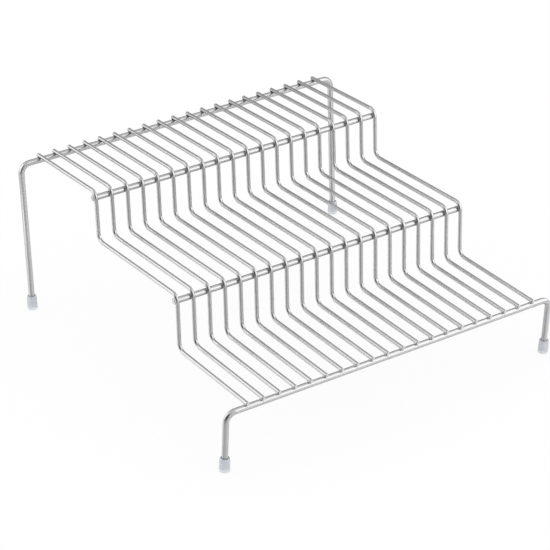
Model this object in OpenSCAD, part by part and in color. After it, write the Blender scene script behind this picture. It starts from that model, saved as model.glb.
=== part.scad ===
// Three-tier shelf riser of welded steel wire. Stepped shelf wires lie across two bent frames and two
// cross bars, and clear caps on the four legs stand on the floor.
// +X is the width, +Y runs from the front to the rear, +Z is up, and the floor is at Z = 0.
// A lean is in degrees and tips a piece's upper end towards the rear.

/* [Shelf wires] */
// Number of stepped shelf wires
wire_count = 20; // [6:1:40]
// Distance between neighbouring shelf wires, centre to centre
wire_pitch = 14.4; // [8:0.1:25]
// Diameter of a shelf wire
wire_dia = 3.2; // [2:0.1:5]
// Centreline radius of the bends in a shelf wire
wire_bend_r = 6.5; // [4:0.1:10]
// Edge break on the cut ends of a shelf wire
wire_end_chamfer = 0.3; // [0.1:0.05:0.6]
// Growth of a wire's diameter where it is bent
bend_swell = 0.04; // [0.02:0.01:0.1]

/* [Tiers] */
// Height of the lower tier's wire axes above the floor
lower_tier_height = 54.8; // [45:0.1:120]
// Depth of the lower tier, from the wires' front ends to the lower riser
lower_tier_depth = 95.5; // [50:0.5:160]
// Depth of the middle tier, from the lower riser to the upper riser
middle_tier_depth = 118; // [50:0.5:200]
// Depth of the top tier, from the upper riser to the wires' rear ends
top_tier_depth = 93.5; // [50:0.5:160]
// Rise from the lower tier to the middle tier
lower_rise = 47; // [32:0.5:100]
// Rise from the middle tier to the top tier
upper_rise = 42; // [32:0.5:100]
// Lean of the middle tier and of the riser under its nose
middle_tier_lean = 2.1; // [0:0.1:5]
// Lean of the top tier, of the riser under its nose and of the rear frame
top_tier_lean = 2.9; // [0:0.1:5]

/* [Frames] */
// Diameter of the wire that the two frames are bent from
frame_dia = 5; // [3.5:0.1:8]
// Centreline radius of the corners between a frame's rail and its legs
frame_bend_r = 8; // [6:0.5:20]
// Straight length of a rail past the outer shelf wires, before its corners
rail_past_wire = 10; // [4:0.1:40]
// Lean of the front frame, whose feet are set back under the lower tier
front_frame_lean = -3.4; // [-6:0.1:0]
// Length of the shelf wires' ends past the axis of the rail that carries them
wire_past_rail = 2.3; // [2:0.1:15]
// Depth to which a shelf wire is set down into a rail or a bar at a weld
weld_set_down = 0.4; // [0.2:0.05:0.8]

/* [Cross bars] */
// Diameter of a cross bar
bar_dia = 5; // [3.5:0.1:8]
// Distance from a tier's wire axes down to the cross bar behind its nose
bar_below_tier = 6.2; // [5:0.1:12]
// Length of a cross bar past the axes of the outer shelf wires
bar_past_wire = 1.4; // [0:0.1:15]
// Edge break on the cut ends of a cross bar
bar_end_chamfer = 0.4; // [0.1:0.05:0.8]

/* [Foot caps] */
// Outer diameter of a foot cap near its sole
cap_dia = 8.8; // [7.5:0.1:14]
// Outer diameter of a foot cap below its rim
cap_top_dia = 8; // [7.5:0.1:14]
// Height of a foot cap
cap_height = 12; // [8:0.5:20]
// Thickness of a foot cap under the end of the leg
cap_floor = 2.2; // [1.5:0.1:5]
// Rounding of a foot cap's upper rim
cap_rim_r = 0.9; // [0.2:0.1:1.2]
// Rounding of the edge of a foot cap's sole
cap_sole_r = 1.2; // [0.4:0.1:2]

/* [Hidden] */
$fn = 64;
STEEL = "silver";
CLEAR_VINYL = [0.80, 0.84, 0.88, 0.55];

wire_r = wire_dia / 2;
frame_r = frame_dia / 2;
bar_r = bar_dia / 2;
cap_r = cap_dia / 2;
cap_top_r = cap_top_dia / 2;
wire_span = (wire_count - 1) * wire_pitch;
leg_x = wire_span / 2 + rail_past_wire + frame_bend_r;

// Length by which a straight run reaches into the bend after it
run_in_bend = 0.1;

// Centre distances at the welds of a shelf wire to a rail and to a bar
rail_to_wire = frame_r + wire_r - weld_set_down;
bar_to_wire = bar_r + wire_r - weld_set_down;

// Side view directions as [y, z]: along a tier to the rear, and up square to it
function rearward(lean) = [cos(lean), -sin(lean)];
function upward(lean) = [sin(lean), cos(lean)];

// Corners of a shelf wire's axis in the side view, from its front end to its rear end
function wire_path(front_y) =
    let (
        front_end = [front_y, lower_tier_height],
        lower_foot = front_end + lower_tier_depth * rearward(0),
        middle_nose = lower_foot + lower_rise * upward(middle_tier_lean),
        upper_foot = middle_nose + middle_tier_depth * rearward(middle_tier_lean),
        top_nose = upper_foot + upper_rise * upward(top_tier_lean),
        rear_end = top_nose + top_tier_depth * rearward(top_tier_lean)
    )
    [front_end, lower_foot, middle_nose, upper_foot, top_nose, rear_end];

// Axes of the rails under the two ends of the shelf wires
function front_rail_of(path) =
    path[0] + wire_past_rail * rearward(0) - rail_to_wire * upward(0);
function rear_rail_of(path) =
    path[5] - wire_past_rail * rearward(top_tier_lean) - rail_to_wire * upward(top_tier_lean);

// Axis of the bar in the corner behind a nose
function bar_behind(nose, lean) =
    nose + bar_to_wire * rearward(lean) - bar_below_tier * upward(lean);

// The path starts where it puts the two rails at equal distances from Y = 0
unplaced = wire_path(0);
path = wire_path(-(front_rail_of(unplaced)[0] + rear_rail_of(unplaced)[0]) / 2);
front_rail = front_rail_of(path);
rear_rail = rear_rail_of(path);
lower_bar = bar_behind(path[2], middle_tier_lean);
upper_bar = bar_behind(path[4], top_tier_lean);

function wire_x(i) = i * wire_pitch - wire_span / 2;
function wire_name(i) = str("shelf_wire_", i < 9 ? "0" : "", i + 1);

// Heading of the run to the next corner, turn at a corner, and length that a bend takes off each run there
function heading(corners, i) =
    atan2(corners[i + 1][1] - corners[i][1], corners[i + 1][0] - corners[i][0]);
function corner_turn(corners, i) =
    let (turn = heading(corners, i) - heading(corners, i - 1))
    turn - 360 * round(turn / 360);
function tangent_length(corners, i, bend_r) =
    bend_r * tan(abs(corner_turn(corners, i)) / 2);

// Straight round bar along +X from the origin, with broken edges where a chamfer is given
module straight_run(length, dia, start_chamfer = 0, end_chamfer = 0) {
    rotate([0, 90, 0]) {
        translate([0, 0, start_chamfer])
            cylinder(d = dia, h = length - start_chamfer - end_chamfer);
        if (start_chamfer > 0)
            cylinder(d1 = dia - 2 * start_chamfer, d2 = dia, h = start_chamfer);
        if (end_chamfer > 0)
            translate([0, 0, length - end_chamfer])
                cylinder(d1 = dia, d2 = dia - 2 * end_chamfer, h = end_chamfer);
    }
}

// Bend that is met along +X, with its corner at the origin; a turn to the left is positive
module bend(turn, dia, bend_r) {
    side = sign(turn);
    translate([-bend_r * tan(abs(turn) / 2), side * bend_r, 0])
        rotate(side > 0 ? -90 : 90 + turn)
            rotate_extrude(angle = abs(turn))
                translate([bend_r, 0])
                    circle(d = dia + bend_swell);
}

// Round bar bent in the XY plane along a list of corners; its runs reach a little way into its bends
module bent_bar(corners, dia, bend_r, end_chamfer = 0) {
    last = len(corners) - 1;
    for (i = [0 : last - 1]) {
        start = i == 0 ? 0 : tangent_length(corners, i, bend_r) - run_in_bend;
        stop = i == last - 1 ? 0 : tangent_length(corners, i + 1, bend_r) - run_in_bend;
        translate(corners[i])
            rotate(heading(corners, i))
                translate([start, 0, 0])
                    straight_run(
                        norm(corners[i + 1] - corners[i]) - start - stop,
                        dia,
                        i == 0 ? end_chamfer : 0,
                        i == last - 1 ? end_chamfer : 0
                    );
    }
    for (i = [1 : 1 : last - 1])
        translate(corners[i])
            rotate(heading(corners, i - 1))
                bend(corner_turn(corners, i), dia, bend_r);
}

// Stands a side view drawn as [y, z] in the YZ plane of one shelf wire
module at_wire(i) {
    translate([wire_x(i), 0, 0])
        rotate([90, 0, 90])
            children();
}

// Every shelf wire's stretch between two of its path's corners, for the saddles of a rail or bar
module wire_stretches(first, last) {
    for (i = [0 : wire_count - 1])
        at_wire(i)
            bent_bar([for (k = [first : last]) path[k]], wire_dia, wire_bend_r);
}

module shelf_wire(i) {
    color(STEEL)
        at_wire(i)
            bent_bar(path, wire_dia, wire_bend_r, wire_end_chamfer);
}

// Rail and two legs in one bent wire, with the legs' ends on the floors of the foot caps
module bent_frame(rail, lean) {
    leg_end = cap_floor - rail[1] / cos(lean);
    corners = [[-leg_x, leg_end], [-leg_x, 0], [leg_x, 0], [leg_x, leg_end]];
    translate([0, rail[0], rail[1]])
        rotate([90 - lean, 0, 0])
            bent_bar(corners, frame_dia, frame_bend_r);
}

module rear_frame() {
    color(STEEL)
        difference() {
            bent_frame(rear_rail, top_tier_lean);
            wire_stretches(4, 5);
        }
}

module front_frame() {
    color(STEEL)
        difference() {
            bent_frame(front_rail, front_frame_lean);
            wire_stretches(0, 1);
        }
}

// Straight bar in the corner behind a nose, with a saddle at each wire
module cross_bar(axis, nose) {
    length = wire_span + 2 * bar_past_wire;
    color(STEEL)
        difference() {
            translate([-length / 2, axis[0], axis[1]])
                straight_run(length, bar_dia, bar_end_chamfer, bar_end_chamfer);
            wire_stretches(nose - 1, nose + 1);
        }
}

module upper_cross_bar() {
    cross_bar(upper_bar, 4);
}

module lower_cross_bar() {
    cross_bar(lower_bar, 2);
}

// Half section of a foot cap from its axis out, reaching down past the floor by sole_drop
module cap_section(sole_drop) {
    sole_edge = [cap_r - cap_sole_r, cap_sole_r - sole_drop];
    rim_edge = [cap_top_r - cap_rim_r, cap_height - cap_rim_r];
    difference() {
        union() {
            polygon([
                [0, -sole_drop],
                [sole_edge[0], -sole_drop],
                [cap_r, sole_edge[1]],
                [cap_top_r, rim_edge[1]],
                [rim_edge[0], cap_height],
                [0, cap_height]
            ]);
            translate(sole_edge)
                circle(cap_sole_r);
            translate(rim_edge)
                circle(cap_rim_r);
        }
        translate([0, cap_floor])
            square([frame_r, cap_height]);
        translate([-cap_dia, -cap_height])
            square([cap_dia, 3 * cap_height]);
    }
}

// Cap pushed onto a leg up to its floor, with its sole worn level with the floor
module foot_cap(side, rail, lean) {
    foot_y = rail[0] - rail[1] * tan(lean);
    color(CLEAR_VINYL)
        translate([side * leg_x, foot_y, 0])
            difference() {
                rotate([-lean, 0, 0])
                    rotate_extrude()
                        cap_section(cap_r * tan(abs(lean)));
                translate([-cap_dia, -cap_dia, -cap_height])
                    cube([2 * cap_dia, 2 * cap_dia, cap_height]);
            }
}

rear_frame();
front_frame();
upper_cross_bar();
lower_cross_bar();
for (i = [0 : wire_count - 1])
    shelf_wire(i);
foot_cap(-1, rear_rail, top_tier_lean);  // foot_cap_rear_left
foot_cap(1, rear_rail, top_tier_lean);  // foot_cap_rear_right
foot_cap(-1, front_rail, front_frame_lean);  // foot_cap_front_left
foot_cap(1, front_rail, front_frame_lean);  // foot_cap_front_right
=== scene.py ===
"""Dresses the three-tier wire shelf riser for its studio picture.

Every steel piece is swept again as smooth drawn wire, the crossings get their spot welds, and the four
legs stand in clear vinyl caps. Sizes are in millimetres and become metres where a mesh is made. In the
frame +X is the width, +Y runs to the rear, +Z is up, and the riser stands on the floor at Z = 0.
"""

from __future__ import annotations

import logging
import math
from dataclasses import dataclass, field
from enum import Enum
from typing import Any

import bpy
from mathutils import Matrix, Vector


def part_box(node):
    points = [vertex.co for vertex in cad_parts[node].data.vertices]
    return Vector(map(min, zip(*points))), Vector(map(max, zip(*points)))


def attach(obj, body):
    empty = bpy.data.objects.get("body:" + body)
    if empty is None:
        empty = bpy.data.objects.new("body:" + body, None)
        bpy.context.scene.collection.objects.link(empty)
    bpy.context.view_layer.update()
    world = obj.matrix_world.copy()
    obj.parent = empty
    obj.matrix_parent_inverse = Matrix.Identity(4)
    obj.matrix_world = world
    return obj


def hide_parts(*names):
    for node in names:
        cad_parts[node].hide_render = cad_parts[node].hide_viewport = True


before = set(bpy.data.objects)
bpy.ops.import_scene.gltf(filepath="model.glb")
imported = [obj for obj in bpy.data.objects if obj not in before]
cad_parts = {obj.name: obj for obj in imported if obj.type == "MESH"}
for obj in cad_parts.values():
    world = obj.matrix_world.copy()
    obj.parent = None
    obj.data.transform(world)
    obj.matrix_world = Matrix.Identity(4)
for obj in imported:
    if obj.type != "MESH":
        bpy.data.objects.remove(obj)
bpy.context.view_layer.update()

LOG = logging.getLogger("shelf_riser")
MM = 0.001
BODY = "root"
WIRE_NODES = sorted(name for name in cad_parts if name.startswith("shelf_wire_"))
# Mesh attributes: place on the straightened wire, and share of painted shade at the caps' mouths
DRAWN = "drawn"
MOUTH_SHADE = "mouth_shade"
WHITE = "#FFFFFF"


class Slot(Enum):
    """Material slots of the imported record."""

    STEEL = "steel_wire"
    VINYL = "clear_vinyl"


def linear(colour: str) -> tuple[float, float, float, float]:
    """Turns an sRGB hex colour to linear light.

    Args:
        colour: Colour as "#RRGGBB".

    Returns:
        Linear red, green and blue, and an alpha of 1.
    """
    parts = [int(colour[i:i + 2], 16) / 255 for i in (1, 3, 5)]
    # The numbers are those of the sRGB standard
    light = [p / 12.92 if p <= 0.04045 else ((p + 0.055) / 1.055) ** 2.4 for p in parts]
    return (*light, 1.0)


def add_node(
    tree: bpy.types.NodeTree, kind: str, inputs: dict[str | int, Any] | None = None, **settings: Any
) -> bpy.types.Node:
    """Adds one node with its settings and links.

    Args:
        tree: Tree that takes the node.
        kind: Type name of the node.
        inputs: Value, or output socket to link from, for inputs by their name or place.
        **settings: Properties of the node.

    Returns:
        The new node.
    """
    node = tree.nodes.new(kind)
    for name, value in settings.items():
        setattr(node, name, value)
    for key, value in (inputs or {}).items():
        if isinstance(value, bpy.types.NodeSocket):
            tree.links.new(value, node.inputs[key])
        else:
            node.inputs[key].default_value = value
    return node


def new_material(name: str) -> tuple[bpy.types.Material, bpy.types.NodeTree]:
    """Starts a material with an empty node tree.

    Args:
        name: Name of the material.

    Returns:
        The material and its tree.
    """
    material = bpy.data.materials.new(name)
    material.use_nodes = True
    material.node_tree.nodes.clear()
    return material, material.node_tree


def new_object(name: str, mesh: bpy.types.Mesh) -> bpy.types.Object:
    """Links a mesh into the scene as an object at the origin.

    Args:
        name: Name of the object.
        mesh: Its mesh.

    Returns:
        The object.
    """
    made = bpy.data.objects.new(name, mesh)
    bpy.context.scene.collection.objects.link(made)
    return made


def geometry_tree(name: str, sockets: dict[str, str]) -> tuple[bpy.types.NodeTree, bpy.types.Node]:
    """Starts a Geometry Nodes tree with named inputs.

    Args:
        name: Name of the tree.
        sockets: Socket type of each input by the input's name.

    Returns:
        The tree and its Group Input node.
    """
    tree = bpy.data.node_groups.new(name, "GeometryNodeTree")
    tree.interface.new_socket("Geometry", in_out="OUTPUT", socket_type="NodeSocketGeometry")
    for socket, kind in sockets.items():
        tree.interface.new_socket(socket, in_out="INPUT", socket_type=kind)
    return tree, tree.nodes.new("NodeGroupInput")


def realised(
    name: str, carrier: bpy.types.Mesh, tree: bpy.types.NodeTree, values: dict[str, Any]
) -> bpy.types.Object:
    """Runs a Geometry Nodes tree on a carrier mesh and keeps the result as a plain mesh.

    Args:
        name: Name of the object.
        carrier: Mesh that goes into the tree.
        tree: The Geometry Nodes tree.
        values: Values of the tree's inputs by their names.

    Returns:
        The object, without modifiers.
    """
    made = new_object(name, carrier)
    modifier = made.modifiers.new(tree.name, "NODES")
    modifier.node_group = tree
    sockets = [item for item in tree.interface.items_tree if item.in_out == "INPUT"]
    identifiers = {item.name: item.identifier for item in sockets}
    for label, value in values.items():
        modifier[identifiers[label]] = value
    depsgraph = bpy.context.evaluated_depsgraph_get()
    mesh = bpy.data.meshes.new_from_object(
        made.evaluated_get(depsgraph), preserve_all_data_layers=True, depsgraph=depsgraph
    )
    made.modifiers.remove(modifier)
    made.data = mesh
    mesh.name = name
    return made


def hand_over(piece: bpy.types.Object, slot: Slot, *nodes: str) -> None:
    """Puts a finished piece on the riser's body, in place of the CAD nodes that it stands for.

    Args:
        piece: The finished piece.
        slot: Material slot of the imported record that the piece's finish belongs to; not used.
        *nodes: CAD nodes that the piece replaces.
    """
    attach(piece, BODY)
    if nodes:
        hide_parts(*nodes)
    LOG.info("%s: %d faces for %s", piece.name, len(piece.data.polygons), ", ".join(nodes) or "no node")


def outward(azimuth: float, elevation: float) -> Vector:
    """Works out the direction from the riser to a camera or screen.

    Args:
        azimuth: Angle round the riser in degrees, 0 at its front.
        elevation: Angle above the floor in degrees.

    Returns:
        The direction as a unit vector.
    """
    round_angle = math.radians(azimuth)
    height_angle = math.radians(elevation)
    level = math.cos(height_angle)
    return Vector((math.sin(round_angle) * level, -math.cos(round_angle) * level, math.sin(height_angle)))


def wire_x(node: str) -> float:
    """Place of a shelf wire's axis across the riser, in millimetres."""
    low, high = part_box(node)
    return (low.x + high.x) / 2 / MM


@dataclass(frozen=True)
class SideView:
    """Sizes of the stepped wires, and where rails and bars lie under them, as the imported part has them."""

    wire_dia: float = 3.2
    wire_bend_r: float = 6.5
    lower_tier_height: float = 54.8
    lower_tier_depth: float = 95.5
    middle_tier_depth: float = 118.0
    top_tier_depth: float = 93.5
    lower_rise: float = 47.0
    upper_rise: float = 42.0
    middle_tier_lean: float = 2.1
    top_tier_lean: float = 2.9
    front_frame_lean: float = -3.4
    bar_dia: float = 5.0
    weld_set_down: float = 0.4
    wire_past_rail: float = 2.3
    bar_below_tier: float = 6.2

    @staticmethod
    def rearward(lean: float) -> Vector:
        """Direction along a tier to the rear, in the YZ plane."""
        return Vector((0, math.cos(math.radians(lean)), -math.sin(math.radians(lean))))

    @staticmethod
    def upward(lean: float) -> Vector:
        """Direction up, square to a tier, in the YZ plane."""
        return Vector((0, math.sin(math.radians(lean)), math.cos(math.radians(lean))))

    @property
    def weld_distance(self) -> float:
        """Distance between the axes of two welded wires."""
        return (self.bar_dia + self.wire_dia) / 2 - self.weld_set_down

    def wire_corners(self) -> list[Vector]:
        """Works out the corners of a shelf wire's axis at X = 0.

        Returns:
            Six points from the front end to the rear end, which put the two rails equally far from Y = 0.
        """
        runs = [
            self.lower_tier_depth * self.rearward(0),
            self.lower_rise * self.upward(self.middle_tier_lean),
            self.middle_tier_depth * self.rearward(self.middle_tier_lean),
            self.upper_rise * self.upward(self.top_tier_lean),
            self.top_tier_depth * self.rearward(self.top_tier_lean),
        ]
        corners = [Vector((0, 0, self.lower_tier_height))]
        for run in runs:
            corners.append(corners[-1] + run)
        shift = Vector((0, -(self.front_rail(corners).y + self.rear_rail(corners).y) / 2, 0))
        return [corner + shift for corner in corners]

    def front_rail(self, corners: list[Vector]) -> Vector:
        """Axis of the rail under the wires' front ends."""
        return corners[0] + self.wire_past_rail * self.rearward(0) - self.weld_distance * self.upward(0)

    def rear_rail(self, corners: list[Vector]) -> Vector:
        """Axis of the rail under the wires' rear ends."""
        lean = self.top_tier_lean
        return (
            corners[-1] - self.wire_past_rail * self.rearward(lean) - self.weld_distance * self.upward(lean)
        )

    def bar_behind(self, nose: Vector, lean: float) -> Vector:
        """Axis of the cross bar in the corner behind a nose."""
        return nose + self.weld_distance * self.rearward(lean) - self.bar_below_tier * self.upward(lean)


@dataclass(frozen=True)
class DrawnSteel:
    """Drawn and polished stainless steel wire: clear bright and dark bands along it, and faint draw lines."""

    name: str = "polished_drawn_stainless_steel"
    colour: str = "#B9B9BA"
    cloudy_colour: str = "#B1B1B2"
    roughness: float = 0.29
    roughness_spread: float = 0.06
    # Real draw lines are about 0.05 mm apart. They are wider here, so that a close view shows them
    line_spacing: float = 0.4
    line_length: float = 25.0
    line_height: float = 0.002
    line_detail: float = 3.0
    cloud_size: float = 9.0
    cloud_detail: float = 2.0

    def material(self) -> bpy.types.Material:
        """Builds the steel on the wire's own drawn coordinates.

        Returns:
            The material.
        """
        made, tree = new_material(self.name)
        drawn = add_node(tree, "ShaderNodeAttribute", attribute_name=DRAWN).outputs["Vector"]
        fine = 1 / (self.line_spacing * MM)
        stretched = add_node(
            tree,
            "ShaderNodeVectorMath",
            {0: drawn, 1: (fine, fine, 1 / (self.line_length * MM))},
            operation="MULTIPLY",
        )
        lines = add_node(
            tree,
            "ShaderNodeTexNoise",
            {"Vector": stretched.outputs[0], "Scale": 1.0, "Detail": self.line_detail},
        )
        clouds = add_node(
            tree,
            "ShaderNodeTexNoise",
            {"Vector": drawn, "Scale": 1 / (self.cloud_size * MM), "Detail": self.cloud_detail},
        )
        colour = add_node(
            tree,
            "ShaderNodeMix",
            {"Factor": clouds.outputs["Fac"], 6: linear(self.colour), 7: linear(self.cloudy_colour)},
            data_type="RGBA",
        )
        roughness = add_node(
            tree,
            "ShaderNodeMapRange",
            {
                "Value": lines.outputs["Fac"],
                "To Min": self.roughness - self.roughness_spread / 2,
                "To Max": self.roughness + self.roughness_spread / 2,
            },
        )
        bump = add_node(
            tree, "ShaderNodeBump", {"Height": lines.outputs["Fac"], "Distance": self.line_height * MM}
        )
        shader = add_node(
            tree,
            "ShaderNodeBsdfPrincipled",
            {
                "Base Color": colour.outputs[2],
                "Roughness": roughness.outputs["Result"],
                "Normal": bump.outputs["Normal"],
                "Metallic": 1.0,
            },
        )
        add_node(tree, "ShaderNodeOutputMaterial", {"Surface": shader.outputs["BSDF"]})
        return made


@dataclass(frozen=True)
class ShearedSteel:
    """The cut ends of the wires: a dull, slightly torn face from the shears."""

    name: str = "sheared_stainless_steel"
    colour: str = "#C0C0C2"
    roughness: float = 0.42
    grain_size: float = 0.25
    grain_detail: float = 2.0
    grain_height: float = 0.03
    grain_strength: float = 0.4

    def material(self) -> bpy.types.Material:
        """Builds the sheared face on Object coordinates.

        Returns:
            The material.
        """
        made, tree = new_material(self.name)
        place = add_node(tree, "ShaderNodeTexCoord").outputs["Object"]
        grain = add_node(
            tree,
            "ShaderNodeTexNoise",
            {"Vector": place, "Scale": 1 / (self.grain_size * MM), "Detail": self.grain_detail},
        )
        bump = add_node(
            tree,
            "ShaderNodeBump",
            {
                "Height": grain.outputs["Fac"],
                "Strength": self.grain_strength,
                "Distance": self.grain_height * MM,
            },
        )
        shader = add_node(
            tree,
            "ShaderNodeBsdfPrincipled",
            {
                "Base Color": linear(self.colour),
                "Roughness": self.roughness,
                "Normal": bump.outputs["Normal"],
                "Metallic": 1.0,
            },
        )
        add_node(tree, "ShaderNodeOutputMaterial", {"Surface": shader.outputs["BSDF"]})
        return made


@dataclass(frozen=True)
class WeldedSteel:
    """Steel squeezed out of a spot weld: dull, and darker in random patches of heat tint."""

    name: str
    colour: str
    burnt_colour: str
    roughness: float = 0.48
    patch_size: float = 1.2
    patch_detail: float = 2.0

    def material(self) -> bpy.types.Material:
        """Builds the weld's steel on Object coordinates.

        Returns:
            The material.
        """
        made, tree = new_material(self.name)
        place = add_node(tree, "ShaderNodeTexCoord").outputs["Object"]
        patches = add_node(
            tree,
            "ShaderNodeTexNoise",
            {"Vector": place, "Scale": 1 / (self.patch_size * MM), "Detail": self.patch_detail},
        )
        colour = add_node(
            tree,
            "ShaderNodeMix",
            {"Factor": patches.outputs["Fac"], 6: linear(self.colour), 7: linear(self.burnt_colour)},
            data_type="RGBA",
        )
        shader = add_node(
            tree,
            "ShaderNodeBsdfPrincipled",
            {"Base Color": colour.outputs[2], "Roughness": self.roughness, "Metallic": 1.0},
        )
        add_node(tree, "ShaderNodeOutputMaterial", {"Surface": shader.outputs["BSDF"]})
        return made


class WeldFinish(Enum):
    """Copies of weld steel: pale as painted light at the front rail, darker as heat tint and painted shade at
    bars and rear rail.
    """

    PAINTED_LIT = WeldedSteel("weld_steel_painted_lit", "#EFEFEF", "#DCDCDB", roughness=0.7)
    HEAT_TINT_HALF_SHADED = WeldedSteel("weld_steel_heat_tint_half_shaded", "#A8A5A1", "#7A7774")
    HEAT_TINT_SHADED = WeldedSteel("weld_steel_heat_tint_shaded", "#55524F", "#32302E")


@dataclass(frozen=True)
class ClearVinyl:
    """Dip-moulded clear PVC: glossy, milky and faintly blue, with painted shade darkening it at its mouth."""

    name: str = "dip_moulded_clear_pvc"
    colour: str = "#E9EDF4"
    # Painted shade: the dark of the gap where the leg goes into the cap
    mouth_shade_colour: str = "#303237"
    roughness: float = 0.15
    roughness_spread: float = 0.06
    ior: float = 1.53
    clarity: float = 0.4
    haze_size: float = 2.5
    haze_detail: float = 3.0
    haze_height: float = 0.002

    def material(self) -> bpy.types.Material:
        """Builds the vinyl on Object coordinates, with painted shade at the mouth where the caps set it.

        Returns:
            The material.
        """
        made, tree = new_material(self.name)
        place = add_node(tree, "ShaderNodeTexCoord").outputs["Object"]
        # The caps' attribute mixes in the painted shade at the mouth
        mouth_shade = add_node(tree, "ShaderNodeAttribute", attribute_name=MOUTH_SHADE).outputs["Fac"]
        colour = add_node(
            tree,
            "ShaderNodeMix",
            {"Factor": mouth_shade, 6: linear(self.colour), 7: linear(self.mouth_shade_colour)},
            data_type="RGBA",
        )
        haze = add_node(
            tree,
            "ShaderNodeTexNoise",
            {"Vector": place, "Scale": 1 / (self.haze_size * MM), "Detail": self.haze_detail},
        )
        roughness = add_node(
            tree,
            "ShaderNodeMapRange",
            {
                "Value": haze.outputs["Fac"],
                "To Min": self.roughness - self.roughness_spread / 2,
                "To Max": self.roughness + self.roughness_spread / 2,
            },
        )
        bump = add_node(
            tree, "ShaderNodeBump", {"Height": haze.outputs["Fac"], "Distance": self.haze_height * MM}
        )
        shader = add_node(
            tree,
            "ShaderNodeBsdfPrincipled",
            {
                "Base Color": colour.outputs[2],
                "Roughness": roughness.outputs["Result"],
                "Normal": bump.outputs["Normal"],
                "IOR": self.ior,
                "Transmission Weight": self.clarity,
            },
        )
        add_node(tree, "ShaderNodeOutputMaterial", {"Surface": shader.outputs["BSDF"]})
        return made


@dataclass(frozen=True)
class BentPath:
    """Axis of one wire: straight runs between corners, with an arc at each corner."""

    corners: list[Vector]
    bend_r: float
    end_break: float
    bend_steps: int = 12
    # Rings this close to a bend or an end keep the shading of the straight run true
    hold: float = 0.5

    def stations(self) -> list[Vector]:
        """Works out where the swept wire has its rings.

        Returns:
            Points from one end to the other, in millimetres.
        """
        points = self.end_stations(self.corners[0], self.corners[1])
        for before, corner, after in zip(self.corners, self.corners[1:], self.corners[2:]):
            points += self.bend_stations(before, corner, after)
        return points + self.end_stations(self.corners[-1], self.corners[-2])[::-1]

    def end_stations(self, end: Vector, inner: Vector) -> list[Vector]:
        """Stations of an end whose edge is broken, from the end inwards."""
        inward = (inner - end).normalized()
        return [end + inward * distance for distance in (0, self.end_break, self.end_break + self.hold)]

    def bend_stations(self, before: Vector, corner: Vector, after: Vector) -> list[Vector]:
        """Works out the stations of the arc at one corner.

        Args:
            before: Corner or end before this one.
            corner: The corner.
            after: Corner or end after this one.

        Returns:
            Points along the arc, with one held on the straight run at each side.
        """
        inward = (corner - before).normalized()
        onward = (after - corner).normalized()
        turn = inward.angle(onward)
        tangent = self.bend_r * math.tan(turn / 2)
        start = corner - inward * tangent
        side = (onward - inward * inward.dot(onward)).normalized()
        steps = [turn * step / self.bend_steps for step in range(self.bend_steps + 1)]
        arc = [
            start + self.bend_r * (inward * math.sin(angle) + side * (1 - math.cos(angle))) for angle in steps
        ]
        return [arc[0] - inward * self.hold, *arc, arc[-1] + onward * self.hold]

    def carrier(self, name: str) -> bpy.types.Mesh:
        """Makes the line of edges that the sweep follows.

        Args:
            name: Name of the mesh.

        Returns:
            The line as a mesh, in metres.
        """
        points = self.stations()
        line = bpy.data.meshes.new(name)
        line.from_pydata([point * MM for point in points], [(i, i + 1) for i in range(len(points) - 1)], [])
        return line


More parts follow.
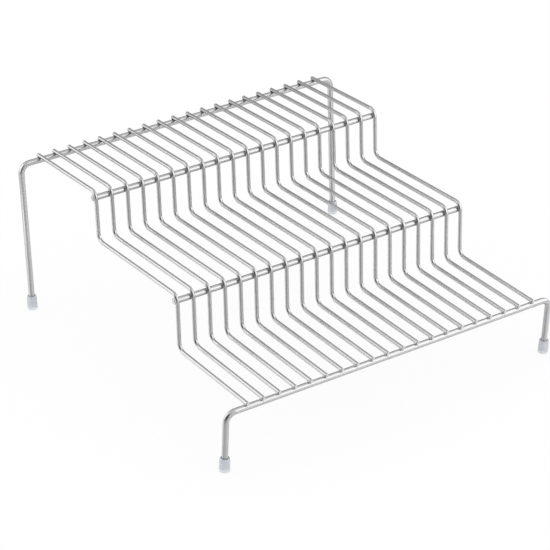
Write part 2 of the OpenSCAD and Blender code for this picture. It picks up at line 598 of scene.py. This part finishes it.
@dataclass
class WireSweep:
    """Geometry Nodes tree that sweeps a path as round wire with broken edges at its ends."""

    cut_metal: bpy.types.Material
    sides: int = 28
    # Corners of a face on the wire's side; the cut ends have more
    side_corners: float = 4.0
    # Number of wires swept so far
    swept: int = field(default=0, init=False)
    tree: bpy.types.NodeTree = field(init=False)

    def __post_init__(self) -> None:
        """Builds the tree."""
        self.tree, given = geometry_tree(
            "Drawn wire",
            {
                "Path": "NodeSocketGeometry",
                "Wire Radius": "NodeSocketFloat",
                "End Break": "NodeSocketFloat",
                "Sides": "NodeSocketInt",
                "Pattern Start": "NodeSocketFloat",
                "Wire Metal": "NodeSocketMaterial",
                "Cut Metal": "NodeSocketMaterial",
            },
        )
        self.add_finish(given.outputs, self.add_sweep(given.outputs))

    def add_sweep(self, given: bpy.types.NodeOutputs) -> bpy.types.NodeSocket:
        """Adds the nodes that sweep the wire and keep its straightened coordinates.

        Args:
            given: Outputs of the Group Input node.

        Returns:
            Socket with the swept mesh.
        """
        tree = self.tree
        path = add_node(tree, "GeometryNodeMeshToCurve", {"Mesh": given["Path"]})
        along = add_node(tree, "GeometryNodeSplineParameter").outputs["Length"]
        length = add_node(tree, "GeometryNodeSplineLength").outputs["Length"]
        to_far_end = add_node(tree, "ShaderNodeMath", {0: length, 1: along}, operation="SUBTRACT")
        to_end = add_node(tree, "ShaderNodeMath", {0: along, 1: to_far_end.outputs[0]}, operation="MINIMUM")
        narrowing = add_node(
            tree, "ShaderNodeMath", {0: given["End Break"], 1: given["Wire Radius"]}, operation="DIVIDE"
        )
        end_scale = add_node(tree, "ShaderNodeMath", {0: 1.0, 1: narrowing.outputs[0]}, operation="SUBTRACT")
        scale = add_node(
            tree,
            "ShaderNodeMapRange",
            {"Value": to_end.outputs[0], "From Max": given["End Break"], "To Min": end_scale.outputs[0]},
        )
        pattern = add_node(tree, "ShaderNodeMath", {0: along, 1: given["Pattern Start"]}, operation="ADD")
        marked_path = add_node(tree, "GeometryNodeCaptureAttribute", {"Geometry": path.outputs["Curve"]})
        marked_path.capture_items.new("FLOAT", "Along")
        tree.links.new(pattern.outputs[0], marked_path.inputs["Along"])
        circle = add_node(
            tree,
            "GeometryNodeCurvePrimitiveCircle",
            {"Resolution": given["Sides"], "Radius": given["Wire Radius"]},
        )
        marked_circle = add_node(tree, "GeometryNodeCaptureAttribute", {"Geometry": circle.outputs["Curve"]})
        marked_circle.capture_items.new("VECTOR", "Round")
        place = add_node(tree, "GeometryNodeInputPosition")
        tree.links.new(place.outputs["Position"], marked_circle.inputs["Round"])
        swept = add_node(
            tree,
            "GeometryNodeCurveToMesh",
            {
                "Curve": marked_path.outputs["Geometry"],
                "Profile Curve": marked_circle.outputs["Geometry"],
                "Scale": scale.outputs["Result"],
                "Fill Caps": True,
            },
        )
        round_place = add_node(tree, "ShaderNodeSeparateXYZ", {0: marked_circle.outputs["Round"]})
        drawn = add_node(
            tree,
            "ShaderNodeCombineXYZ",
            {"X": round_place.outputs["X"], "Y": round_place.outputs["Y"], "Z": marked_path.outputs["Along"]},
        )
        stored = add_node(
            tree,
            "GeometryNodeStoreNamedAttribute",
            {"Geometry": swept.outputs["Mesh"], "Name": DRAWN, "Value": drawn.outputs[0]},
            data_type="FLOAT_VECTOR",
            domain="POINT",
        )
        return stored.outputs["Geometry"]

    def add_finish(self, given: bpy.types.NodeOutputs, swept: bpy.types.NodeSocket) -> None:
        """Adds the nodes that shade the wire, realise it and set its two metals.

        Args:
            given: Outputs of the Group Input node.
            swept: Socket with the swept mesh.
        """
        tree = self.tree
        corners = add_node(tree, "GeometryNodeInputMeshFaceNeighbors").outputs["Vertex Count"]
        is_end = add_node(
            tree, "ShaderNodeMath", {0: corners, 1: self.side_corners}, operation="GREATER_THAN"
        )
        is_side = add_node(tree, "ShaderNodeMath", {0: 1.0, 1: is_end.outputs[0]}, operation="SUBTRACT")
        shaded = add_node(
            tree, "GeometryNodeSetShadeSmooth", {"Geometry": swept, "Shade Smooth": is_side.outputs[0]}
        )
        whole = add_node(tree, "GeometryNodeRealizeInstances", {"Geometry": shaded.outputs["Geometry"]})
        metal = add_node(
            tree,
            "GeometryNodeSetMaterial",
            {"Geometry": whole.outputs["Geometry"], "Material": given["Wire Metal"]},
        )
        ends = add_node(
            tree,
            "GeometryNodeSetMaterial",
            {
                "Geometry": metal.outputs["Geometry"],
                "Selection": is_end.outputs[0],
                "Material": given["Cut Metal"],
            },
        )
        add_node(tree, "NodeGroupOutput", {"Geometry": ends.outputs["Geometry"]})

    def sweep(self, name: str, path: BentPath, dia: float, metal: bpy.types.Material) -> bpy.types.Object:
        """Sweeps one wire.

        Args:
            name: Name of the piece.
            path: Axis of the wire.
            dia: Diameter of the wire.
            metal: Finish of its drawn surface.

        Returns:
            The wire as a plain mesh object.
        """
        # Each wire starts a metre further along the pattern, so that no two are alike
        self.swept += 1
        return realised(
            name,
            path.carrier(name),
            self.tree,
            {
                "Wire Radius": dia / 2 * MM,
                "End Break": path.end_break * MM,
                "Sides": self.sides,
                "Pattern Start": float(self.swept),
                "Wire Metal": metal,
                "Cut Metal": self.cut_metal,
            },
        )


@dataclass
class ShelfWires:
    """The stepped wires that jars stand on, side by side."""

    side: SideView
    sweep: WireSweep
    metal: bpy.types.Material
    end_break: float = 0.3

    def build(self) -> None:
        """Sweeps one wire in place of each shelf wire of the frame."""
        corners = self.side.wire_corners()
        for node in WIRE_NODES:
            across = Vector((wire_x(node), 0, 0))
            path = BentPath([corner + across for corner in corners], self.side.wire_bend_r, self.end_break)
            piece = self.sweep.sweep(f"{node}_drawn", path, self.side.wire_dia, self.metal)
            hand_over(piece, Slot.STEEL, node)


@dataclass
class LeggedFrame:
    """A rail with a leg at each end, bent from one wire."""

    side: SideView
    sweep: WireSweep
    metal: bpy.types.Material
    node: str
    rail: Vector
    lean: float
    corner_r: float = 8.0
    corner_steps: int = 20
    rail_past_wire: float = 10.0
    cap_floor: float = 2.2
    end_break: float = 0.3

    @property
    def leg_x(self) -> float:
        """Distance of a leg's axis from the middle of the riser."""
        return wire_x(WIRE_NODES[-1]) + self.rail_past_wire + self.corner_r

    def foot(self, side: int) -> Vector:
        """Point where a leg's axis meets the floor; side is -1 on the left and 1 on the right."""
        down = self.rail.z / math.cos(math.radians(self.lean))
        return self.rail + Vector((side * self.leg_x, 0, 0)) - down * SideView.upward(self.lean)

    def build(self) -> None:
        """Sweeps the frame in place of its CAD node."""
        legs = [self.foot(side) + self.cap_floor * SideView.upward(self.lean) for side in (-1, 1)]
        tops = [self.rail + Vector((side * self.leg_x, 0, 0)) for side in (-1, 1)]
        corners = [legs[0], *tops, legs[1]]
        path = BentPath(corners, self.corner_r, self.end_break, self.corner_steps)
        piece = self.sweep.sweep(f"{self.node}_drawn", path, self.side.bar_dia, self.metal)
        hand_over(piece, Slot.STEEL, self.node)


@dataclass
class CrossBar:
    """A straight bar in the corner behind a nose."""

    side: SideView
    sweep: WireSweep
    metal: bpy.types.Material
    node: str
    axis: Vector
    past_wire: float = 1.4
    end_break: float = 0.4

    def build(self) -> None:
        """Sweeps the bar in place of its CAD node."""
        reach = Vector((wire_x(WIRE_NODES[-1]) + self.past_wire, 0, 0))
        path = BentPath([self.axis - reach, self.axis + reach], 0.0, self.end_break)
        piece = self.sweep.sweep(f"{self.node}_drawn", path, self.side.bar_dia, self.metal)
        hand_over(piece, Slot.STEEL, self.node)


@dataclass
class WeldTree:
    """Geometry Nodes tree that sets a collar of squeezed-out steel at each crossing of a rail or bar."""

    lumps_per_mm: float = 0.9
    lump_detail: float = 1.0
    # Least and most thickness along a bead, and least and most size of a collar, as shares of the given ones
    bead_thickness: tuple[float, float] = (0.6, 1.4)
    collar_size: tuple[float, float] = (0.94, 1.04)
    tree: bpy.types.NodeTree = field(init=False)

    def __post_init__(self) -> None:
        """Builds the tree."""
        self.tree, given = geometry_tree(
            "Spot welds",
            {
                "Collar": "NodeSocketGeometry",
                "Count": "NodeSocketInt",
                "First": "NodeSocketVector",
                "Step": "NodeSocketVector",
                "Tilt": "NodeSocketRotation",
                "Bead Radius": "NodeSocketFloat",
                "Bead Sides": "NodeSocketInt",
                "Seed": "NodeSocketInt",
                "Metal": "NodeSocketMaterial",
            },
        )
        self.add_nodes(given.outputs)

    def add_nodes(self, given: bpy.types.NodeOutputs) -> None:
        """Adds the nodes that sweep a collar and repeat it along the row.

        Args:
            given: Outputs of the Group Input node.
        """
        tree = self.tree
        ring = add_node(tree, "GeometryNodeMeshToCurve", {"Mesh": given["Collar"]})
        bead = add_node(
            tree,
            "GeometryNodeCurvePrimitiveCircle",
            {"Resolution": given["Bead Sides"], "Radius": given["Bead Radius"]},
        )
        lumps = add_node(
            tree, "ShaderNodeTexNoise", {"Scale": self.lumps_per_mm / MM, "Detail": self.lump_detail}
        )
        thinnest, thickest = self.bead_thickness
        thickness = add_node(
            tree,
            "ShaderNodeMapRange",
            {"Value": lumps.outputs["Fac"], "To Min": thinnest, "To Max": thickest},
        )
        collar = add_node(
            tree,
            "GeometryNodeCurveToMesh",
            {
                "Curve": ring.outputs["Curve"],
                "Profile Curve": bead.outputs["Curve"],
                "Scale": thickness.outputs["Result"],
            },
        )
        shaded = add_node(
            tree, "GeometryNodeSetShadeSmooth", {"Geometry": collar.outputs["Mesh"], "Shade Smooth": True}
        )
        crossings = add_node(
            tree,
            "GeometryNodeMeshLine",
            {"Count": given["Count"], "Start Location": given["First"], "Offset": given["Step"]},
            mode="OFFSET",
        )
        growth = add_node(tree, "FunctionNodeRandomValue", {"Seed": given["Seed"]}, data_type="FLOAT")
        smallest, largest = self.collar_size
        size = add_node(
            tree, "ShaderNodeMapRange", {"Value": growth.outputs[1], "To Min": smallest, "To Max": largest}
        )
        placed = add_node(
            tree,
            "GeometryNodeInstanceOnPoints",
            {
                "Points": crossings.outputs["Mesh"],
                "Instance": shaded.outputs["Geometry"],
                "Rotation": given["Tilt"],
                "Scale": size.outputs["Result"],
            },
        )
        whole = add_node(tree, "GeometryNodeRealizeInstances", {"Geometry": placed.outputs["Instances"]})
        metal = add_node(
            tree,
            "GeometryNodeSetMaterial",
            {"Geometry": whole.outputs["Geometry"], "Material": given["Metal"]},
        )
        add_node(tree, "NodeGroupOutput", {"Geometry": metal.outputs["Geometry"]})


@dataclass
class WeldRow:
    """The spot welds of one rail or bar, with their collars of squeezed-out steel."""

    side: SideView
    collars: WeldTree
    name: str
    axis: Vector
    # Turn about X that brings the collars' tops from upright to the wires, in degrees
    tilt: float
    metal: bpy.types.Material
    bead_r: float = 0.35
    # Space between the two wires where the collar closes it
    closed_gap: float = 0.45
    ring_points: int = 28
    bead_sides: int = 8
    seed: int = 7

    def collar_line(self) -> bpy.types.Mesh:
        """Works out the closed line between a wire and the bar below it, round their weld.

        Returns:
            The line, about the bar's axis along X and with the wire above it along Y.
        """
        wire_r = self.side.wire_dia / 2
        bar_r = self.side.bar_dia / 2
        depth = self.side.weld_set_down + self.closed_gap
        half_width = math.sqrt(2 * wire_r * depth - depth * depth)
        half_length = math.sqrt(2 * bar_r * depth - depth * depth)
        points = []
        for i in range(self.ring_points):
            turn = 2 * math.pi * i / self.ring_points
            x = half_width * math.cos(turn)
            y = half_length * math.sin(turn)
            on_bar = math.sqrt(bar_r * bar_r - y * y)
            on_wire = self.side.weld_distance - math.sqrt(wire_r * wire_r - x * x)
            points.append(Vector((x, y, (on_bar + on_wire) / 2)) * MM)
        line = bpy.data.meshes.new(self.name)
        line.from_pydata(points, [(i, (i + 1) % self.ring_points) for i in range(self.ring_points)], [])
        return line

    def build(self) -> None:
        """Repeats the collar at each crossing of the row."""
        first, second = (wire_x(node) for node in WIRE_NODES[:2])
        piece = realised(
            self.name,
            self.collar_line(),
            self.collars.tree,
            {
                "Count": len(WIRE_NODES),
                "First": (self.axis + Vector((first, 0, 0))) * MM,
                "Step": Vector((second - first, 0, 0)) * MM,
                "Tilt": (math.radians(self.tilt), 0.0, 0.0),
                "Bead Radius": self.bead_r * MM,
                "Bead Sides": self.bead_sides,
                "Seed": self.seed,
                "Metal": self.metal,
            },
        )
        hand_over(piece, Slot.STEEL)


@dataclass
class FootCap:
    """A clear cap pushed onto the end of a leg, narrower at its rim, with its sole level on the floor."""

    node: str
    foot: Vector
    lean: float
    vinyl: bpy.types.Material
    dia: float = 8.8
    top_dia: float = 8.0
    height: float = 12.0
    # The bore grips the leg, so that no film of air lies between them
    floor: float = 2.55
    bore_r: float = 2.46
    rim_r: float = 1.3
    sole_r: float = 1.2
    # Distance from the edge of the mouth at which its painted shade ends
    mouth_shade_reach: float = 0.8
    arc_steps: int = 6
    sides: int = 48

    def arc(self, centre: tuple[float, float], radius: float, start: float, stop: float) -> list[Vector]:
        """Works out points of an arc in the half section.

        Args:
            centre: Distance of the arc's centre from the axis, and its height.
            radius: Radius of the arc.
            start: First angle in degrees, 0 away from the axis.
            stop: Last angle in degrees.

        Returns:
            The points in order.
        """
        out, up = centre
        angles = [start + (stop - start) * i / self.arc_steps for i in range(self.arc_steps + 1)]
        turns = [math.radians(angle) for angle in angles]
        return [Vector((out + radius * math.cos(turn), 0, up + radius * math.sin(turn))) for turn in turns]

    def half_section(self) -> list[Vector]:
        """Works out the cap's half section.

        Returns:
            Points from the axis under the sole, round the outside and down the bore to its floor.
        """
        radius = self.dia / 2
        bottom = -radius * math.tan(math.radians(abs(self.lean)))
        sole = self.arc((radius - self.sole_r, bottom + self.sole_r), self.sole_r, -90, 0)
        rim = self.arc((self.top_dia / 2 - self.rim_r, self.height - self.rim_r), self.rim_r, 0, 90)
        heights = (self.height, self.height - self.mouth_shade_reach, self.floor)
        bore = [Vector((self.bore_r, 0, height)) for height in heights]
        return [Vector((0, 0, bottom)), *sole, *rim, *bore, Vector((0, 0, self.floor))]

    def mouth_shade(self, point: Vector) -> float:
        """Share of painted shade at a point of the half section, full at the edge of the mouth."""
        mouth = Vector((self.bore_r, 0, self.height))
        return max(0.0, 1 - (point - mouth).length / self.mouth_shade_reach)

    def build(self) -> None:
        """Turns the half section into the cap in place of its CAD node."""
        section = self.half_section()
        inner = section[1:-1]
        lean = Matrix.Rotation(math.radians(-self.lean), 3, "X")
        points = []
        faces = []
        for i in range(self.sides):
            turn = Matrix.Rotation(2 * math.pi * i / self.sides, 3, "Z")
            points += [lean @ (turn @ point) + self.foot for point in inner]
        for i in range(self.sides):
            here = i * len(inner)
            there = (i + 1) % self.sides * len(inner)
            for k in range(len(inner) - 1):
                faces.append((here + k, there + k, there + k + 1, here + k + 1))
        poles = [lean @ point + self.foot for point in (section[0], section[-1])]
        sole_pole = len(points)
        points += poles
        for i in range(self.sides):
            here = i * len(inner)
            there = (i + 1) % self.sides * len(inner)
            faces.append((sole_pole, there, here))
            faces.append((sole_pole + 1, here + len(inner) - 1, there + len(inner) - 1))
        mesh = bpy.data.meshes.new(self.node)
        mesh.from_pydata([Vector((p.x, p.y, max(p.z, 0))) * MM for p in points], [], faces)
        mesh.shade_smooth()
        # Painted shade at the mouth, strongest at its edge
        mouth_shade = [self.mouth_shade(point) for point in inner] * self.sides + [0.0, 0.0]
        mesh.attributes.new(MOUTH_SHADE, "FLOAT", "POINT").data.foreach_set("value", mouth_shade)
        mesh.materials.append(self.vinyl)
        hand_over(new_object(f"{self.node}_vinyl", mesh), Slot.VINYL, self.node)


@dataclass(frozen=True)
class PictureCamera:
    """The camera of the photograph, found by fitting the wires' edges."""

    azimuth: float = -34.12
    elevation: float = 29.04
    distance: float = 1932.2
    target: tuple[float, float, float] = (0.1, 11.12, 45.48)
    focal_pixels: float = 2345.7
    picture_pixels: float = 550.0
    sensor: float = 36.0

    def build(self) -> None:
        """Sets the camera up and makes it the scene's own."""
        data = bpy.data.cameras.new("picture_camera")
        data.sensor_width = self.sensor
        data.lens = self.focal_pixels / self.picture_pixels * self.sensor
        camera = bpy.data.objects.new("picture_camera", data)
        bpy.context.scene.collection.objects.link(camera)
        back = outward(self.azimuth, self.elevation)
        camera.location = (Vector(self.target) + self.distance * back) * MM
        camera.rotation_euler = (-back).to_track_quat("-Z", "Y").to_euler()
        bpy.context.scene.camera = camera


@dataclass(frozen=True)
class StudioScreen:
    """A curved upright screen that only the shine of the pieces sees: a lit softbox, or a dark flag."""

    name: str
    first_azimuth: float
    last_azimuth: float
    top_elevation: float
    radiance: float
    distance: float = 2000.0
    bottom_elevation: float = 0.0
    columns: int = 24

    def build(self) -> None:
        """Stands the screen round its part of the floor."""
        step = (self.last_azimuth - self.first_azimuth) / self.columns
        edges = (self.bottom_elevation, self.top_elevation)
        heights = [self.distance * math.tan(math.radians(edge)) for edge in edges]
        points = []
        for i in range(self.columns + 1):
            foot = self.distance * outward(self.first_azimuth + i * step, 0)
            points += [(foot + Vector((0, 0, height))) * MM for height in heights]
        faces = [(2 * i, 2 * i + 2, 2 * i + 3, 2 * i + 1) for i in range(self.columns)]
        mesh = bpy.data.meshes.new(self.name)
        mesh.from_pydata(points, [], faces)
        material, tree = new_material(self.name)
        light = add_node(tree, "ShaderNodeEmission", {"Strength": self.radiance})
        add_node(tree, "ShaderNodeOutputMaterial", {"Surface": light.outputs["Emission"]})
        mesh.materials.append(material)
        screen = new_object(self.name, mesh)
        screen.visible_camera = False
        screen.visible_diffuse = False
        screen.visible_transmission = False
        screen.visible_shadow = False


@dataclass(frozen=True)
class SatinPaper:
    """White satin paper on the studio's floor: it keeps the shadow, and its sheen shows only in the steel."""

    name: str = "satin_white_paper"
    # Share of the white that no shadow darkens, to the camera and in the steel's mirror
    glow: float = 0.85
    mirrored_glow: float = 0.25
    # Share of sheen in that mirror, and the slants of view over which it grows to that, where a slant of 0
    # looks straight down and 1 along the floor
    sheen: float = 0.46
    sheen_slants: tuple[float, float] = (0.3, 0.52)
    sheen_roughness: float = 0.25

    def material(self) -> bpy.types.Material:
        """Builds the paper from its matt white, its glow and its sheen.

        Returns:
            The material.
        """
        made, tree = new_material(self.name)
        rays = add_node(tree, "ShaderNodeLightPath").outputs
        seen = add_node(
            tree,
            "ShaderNodeMath",
            {0: rays["Is Camera Ray"], 1: rays["Is Transmission Ray"]},
            operation="MAXIMUM",
        )
        direct = add_node(tree, "ShaderNodeMath", {0: seen.outputs[0], 1: self.glow}, operation="MULTIPLY")
        share = add_node(
            tree,
            "ShaderNodeMath",
            {0: rays["Is Glossy Ray"], 1: self.mirrored_glow, 2: direct.outputs[0]},
            operation="MULTIPLY_ADD",
        )
        matt = add_node(tree, "ShaderNodeBsdfDiffuse", {"Color": linear(WHITE)})
        glow = add_node(tree, "ShaderNodeEmission", {"Color": linear(WHITE), "Strength": 1.0})
        mixed = add_node(
            tree,
            "ShaderNodeMixShader",
            {"Fac": share.outputs[0], 1: matt.outputs["BSDF"], 2: glow.outputs["Emission"]},
        )
        gloss = add_node(
            tree, "ShaderNodeBsdfAnisotropic", {"Color": linear(WHITE), "Roughness": self.sheen_roughness}
        )
        slant = add_node(tree, "ShaderNodeLayerWeight").outputs["Facing"]
        first_slant, last_slant = self.sheen_slants
        grazing = add_node(
            tree,
            "ShaderNodeMapRange",
            {"Value": slant, "From Min": first_slant, "From Max": last_slant, "To Max": self.sheen},
        )
        sheen = add_node(
            tree, "ShaderNodeMath", {0: rays["Is Glossy Ray"], 1: grazing.outputs[0]}, operation="MULTIPLY"
        )
        paper = add_node(
            tree,
            "ShaderNodeMixShader",
            {"Fac": sheen.outputs[0], 1: mixed.outputs["Shader"], 2: gloss.outputs["BSDF"]},
        )
        add_node(tree, "ShaderNodeOutputMaterial", {"Surface": paper.outputs["Shader"]})
        return made


@dataclass(frozen=True)
class Studio:
    """White floor and white surround, with screens for the steel to mirror."""

    floor_side: float = 40000.0
    paper: SatinPaper = SatinPaper()
    # Each with its first and last azimuth, its top elevation and its radiance
    screens: tuple[StudioScreen, ...] = (
        StudioScreen("right_softbox", 5.0, 88.0, 57.0, 2.2, distance=600.0, bottom_elevation=9.0),
        StudioScreen("left_softbox", 207.0, 266.0, 49.0, 2.2, distance=640.0, bottom_elevation=10.0),
        StudioScreen("left_strip", 237.0, 262.0, 7.5, 2.2, distance=330.0),
        StudioScreen("rear_flag", 95.0, 218.0, 45.0, 0.55),
        StudioScreen("front_flag", 260.0, 330.0, 50.0, 0.02),
    )

    def build(self) -> None:
        """Lights the scene plainly, lays the floor and stands up the screens."""
        scene = bpy.context.scene
        scene.view_settings.view_transform = "Standard"
        scene.world = bpy.data.worlds.new("white_surround")
        scene.world.use_nodes = True
        tree = scene.world.node_tree
        tree.nodes.clear()
        light = add_node(tree, "ShaderNodeBackground", {"Color": linear(WHITE), "Strength": 1.0})
        add_node(tree, "ShaderNodeOutputWorld", {"Surface": light.outputs["Background"]})
        self.build_floor()
        for screen in self.screens:
            screen.build()

    def build_floor(self) -> None:
        """Lays the sheet of paper that the riser stands on."""
        reach = self.floor_side / 2 * MM
        corners = [(x * reach, y * reach, 0.0) for x, y in ((-1, -1), (1, -1), (1, 1), (-1, 1))]
        mesh = bpy.data.meshes.new("studio_floor")
        mesh.from_pydata(corners, [], [(0, 1, 2, 3)])
        mesh.materials.append(self.paper.material())
        new_object("studio_floor", mesh)


def main() -> None:
    """Builds the camera, the studio and the riser's pieces in order."""
    logging.basicConfig(level=logging.INFO, format="%(name)s: %(message)s")
    PictureCamera().build()
    Studio().build()
    side = SideView()
    corners = side.wire_corners()
    _, _, middle_nose, _, top_nose, _ = corners
    front_rail = side.front_rail(corners)
    rear_rail = side.rear_rail(corners)
    lower_bar = side.bar_behind(middle_nose, side.middle_tier_lean)
    upper_bar = side.bar_behind(top_nose, side.top_tier_lean)
    steel = DrawnSteel().material()
    sweep = WireSweep(ShearedSteel().material())
    ShelfWires(side, sweep, steel).build()
    vinyl = ClearVinyl().material()
    frames = {"front": (front_rail, side.front_frame_lean), "rear": (rear_rail, side.top_tier_lean)}
    for place, (rail, lean) in frames.items():
        legged = LeggedFrame(side, sweep, steel, f"{place}_frame", rail, lean)
        legged.build()
        for hand, sign in (("left", -1), ("right", 1)):
            FootCap(f"foot_cap_{place}_{hand}", legged.foot(sign), lean, vinyl).build()
    for place, axis in (("lower", lower_bar), ("upper", upper_bar)):
        CrossBar(side, sweep, steel, f"{place}_cross_bar", axis).build()
    collars = WeldTree()
    # The welds' finishes paint light on the front rail and shade in the nooks at the bars and the rear rail
    lit_weld_metal = WeldFinish.PAINTED_LIT.value.material()
    half_shaded_weld_metal = WeldFinish.HEAT_TINT_HALF_SHADED.value.material()
    shaded_weld_metal = WeldFinish.HEAT_TINT_SHADED.value.material()
    # The wires cross over the rails and in front of the bars
    front_tilt = 0.0
    rear_tilt = -side.top_tier_lean
    lower_tilt = 90 - side.middle_tier_lean
    upper_tilt = 90 - side.top_tier_lean
    rows = (
        WeldRow(side, collars, "front_rail_welds", front_rail, front_tilt, lit_weld_metal, bead_r=0.5),
        WeldRow(
            side, collars, "rear_rail_welds", rear_rail, rear_tilt, shaded_weld_metal, bead_r=0.42, closed_gap=0.52
        ),
        WeldRow(side, collars, "lower_bar_welds", lower_bar, lower_tilt, half_shaded_weld_metal),
        WeldRow(side, collars, "upper_bar_welds", upper_bar, upper_tilt, half_shaded_weld_metal),
    )
    for row in rows:
        row.build()


if __name__ == "__main__":
    main()
